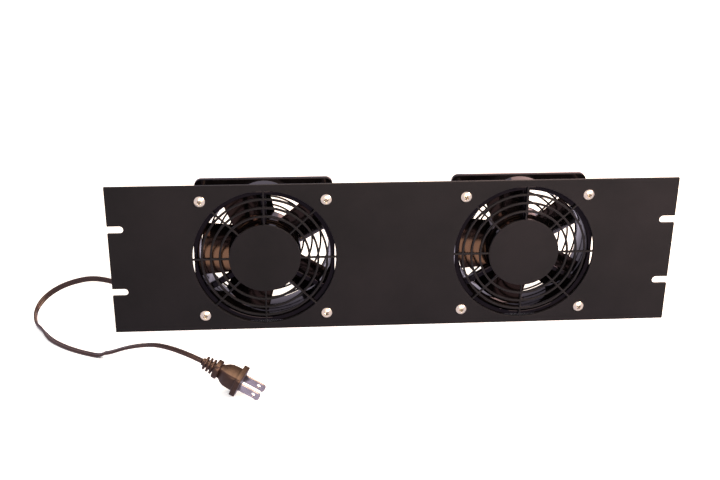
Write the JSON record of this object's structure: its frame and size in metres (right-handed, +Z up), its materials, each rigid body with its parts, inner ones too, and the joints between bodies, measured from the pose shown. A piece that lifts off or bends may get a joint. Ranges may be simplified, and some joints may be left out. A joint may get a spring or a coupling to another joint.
{
  "type": "rack fan panel",
  "caption": "Rack-mount front panel in satin black with ring-and-spoke grilles cut in it, axial mains fans bolted behind, and a supply cord with a two-blade plug.",
  "frame": {"origin": "middle of the panel's rear face, the face that seats on the rack's rails", "axes": "+X to the right seen from the front, +Y into the rack, +Z up"},
  "size_m": [0.5573, 0.1715, 0.1324],
  "materials": {
    "panel_black": "satin black powder coat on steel",
    "black_casting": "die-cast, gloss black enamel",
    "black_plastic": "moulded, slight gloss",
    "black_steel": "black enamel on steel",
    "lamination": "stacked electrical steel",
    "bright_steel": "ground",
    "spring_steel": "tempered",
    "winding": "enamelled copper wire",
    "zinc": "bright zinc plate",
    "nickel": "nickel plate",
    "cord_pvc": "brown-black PVC"
  },
  "bodies": {
    "chassis": {"panel": "panel_black", "left_fan_frame": "black_casting", "left_front_bearing": "bright_steel", "left_rear_bearing": "bright_steel", "left_preload_washer": "spring_steel", "left_bore_plug": "black_plastic", "left_stator_core": "lamination", "left_stator_windings": "winding", "left_motor_leads": "cord_pvc", "left_terminal_block": "black_plastic", "left_terminal_tabs": "bright_steel", "left_rear_guard": "black_steel", "left_mounting_screws": "zinc", "left_lock_washers": "zinc", "left_lock_nuts": "zinc", "right_fan_frame": "black_casting", "right_front_bearing": "bright_steel", "right_rear_bearing": "bright_steel", "right_preload_washer": "spring_steel", "right_bore_plug": "black_plastic", "right_stator_core": "lamination", "right_stator_windings": "winding", "right_motor_leads": "cord_pvc", "right_terminal_block": "black_plastic", "right_terminal_tabs": "bright_steel", "right_rear_guard": "black_steel", "right_mounting_screws": "zinc", "right_lock_washers": "zinc", "right_lock_nuts": "zinc", "fan_connector": "cord_pvc", "supply_cord": "cord_pvc", "plug_body": "cord_pvc", "plug_blades": "nickel"},
    "left_rotor": {"left_impeller": "black_plastic", "left_rotor_cup": "black_steel", "left_rotor_core": "lamination", "left_shaft": "bright_steel", "left_retaining_ring": "spring_steel"},
    "right_rotor": {"right_impeller": "black_plastic", "right_rotor_cup": "black_steel", "right_rotor_core": "lamination", "right_shaft": "bright_steel", "right_retaining_ring": "spring_steel"}
  },
  "joints": [
    {"name": "left_impeller_spin", "type": "hinge", "parent": "chassis", "child": "left_rotor", "pos_m": [-0.1114, 0.02, 0], "axis": [0, 1, 0], "continuous": true},
    {"name": "right_impeller_spin", "type": "hinge", "parent": "chassis", "child": "right_rotor", "pos_m": [0.1114, 0.02, 0], "axis": [0, 1, 0], "continuous": true}
  ]
}
